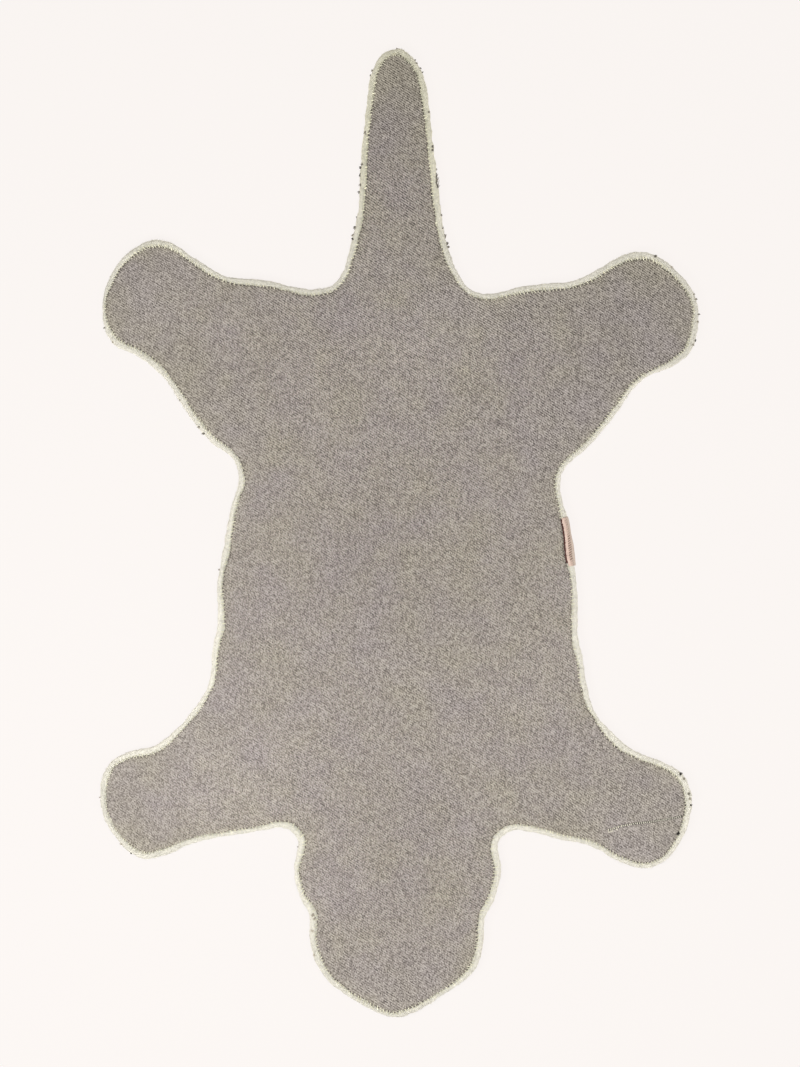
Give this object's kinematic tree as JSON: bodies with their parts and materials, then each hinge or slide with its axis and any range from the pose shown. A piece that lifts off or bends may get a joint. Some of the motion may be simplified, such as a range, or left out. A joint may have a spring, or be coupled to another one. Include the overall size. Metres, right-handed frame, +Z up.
{
  "type": "animal shaped kids rug",
  "caption": "Child's floor rug in the outline of an animal with spread legs, pile side down, with its grey twill back, cream turned edge and folded side label showing.",
  "frame": {"origin": "middle of the rug's bounding box, on the floor, where the pile's tips rest", "axes": "+Z up out of the back, +Y towards the tip of the tail, +X towards the side with the label"},
  "size_m": [0.6, 0.969, 0.0117],
  "materials": {
    "cream_pile": "matte",
    "grey_twill": "matte",
    "salmon_tape": "satin"
  },
  "bodies": {
    "root": {"tufted_body": "cream_pile", "backing_cloth": "grey_twill", "label": "salmon_tape"}
  },
  "joints": []
}
